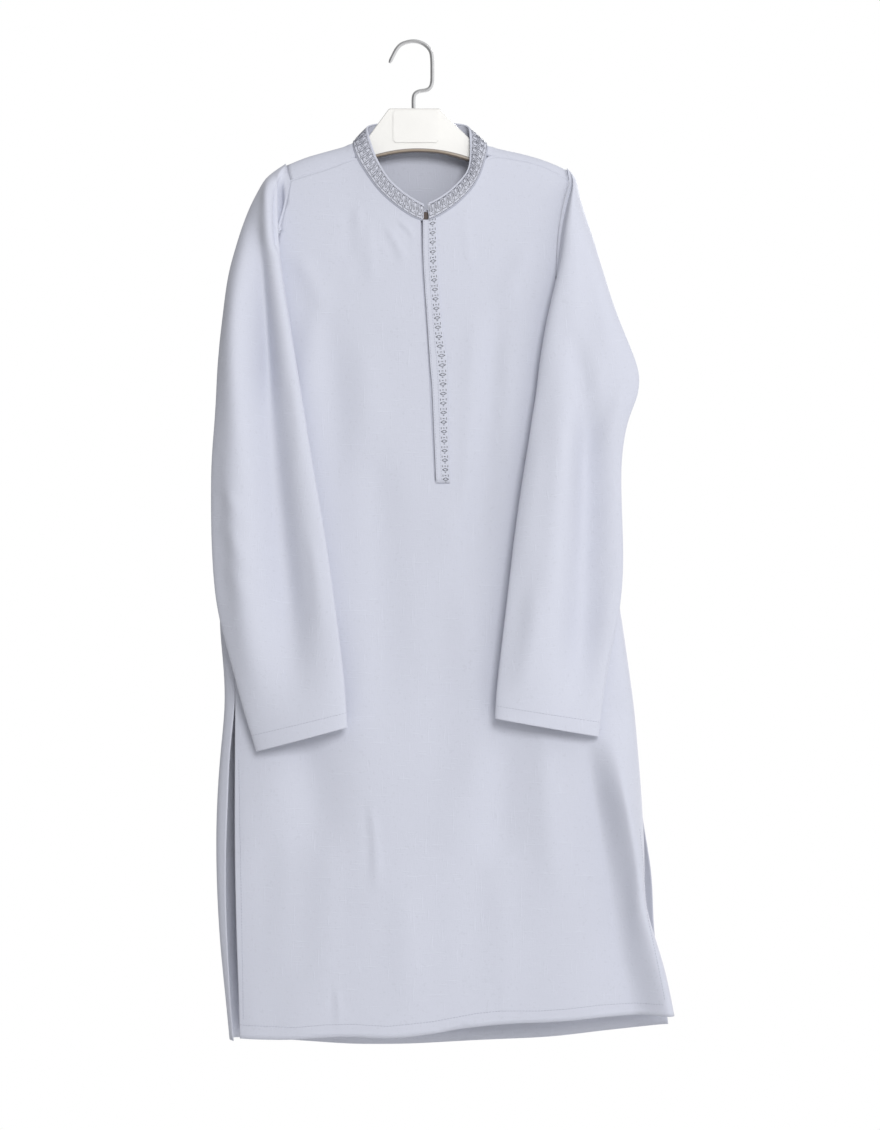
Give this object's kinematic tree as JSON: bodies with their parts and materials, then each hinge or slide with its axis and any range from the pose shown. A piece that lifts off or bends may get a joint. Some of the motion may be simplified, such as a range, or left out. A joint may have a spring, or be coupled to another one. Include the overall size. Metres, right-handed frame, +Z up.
{
  "type": "kurta on a hanger",
  "caption": "Long-sleeved kurta with a band collar, half placket and side slits, hanging open and hollow on a plain hanger with a bent hook.",
  "frame": {"origin": "where a rail bears under the top of the hook, on the inside of its bend, in the middle plane of the hanger", "axes": "+Z up along the hanging garment, +X the viewer's right from the front, the garment's front facing -Y"},
  "size_m": [0.5327, 0.1037, 1.1735],
  "materials": {
    "cloth": "fine slubbed plain weave with a soft sheen",
    "button": "polished",
    "ivory": "gloss",
    "steel": "bright"
  },
  "bodies": {
    "root": {"front": "cloth", "back": "cloth", "sleeve_left": "cloth", "sleeve_right": "cloth", "collar": "cloth", "placket_overlap": "cloth", "placket_underlap": "cloth", "collar_button": "button", "hanger": "ivory", "hanger_plate": "ivory", "hook": "steel"}
  },
  "joints": []
}
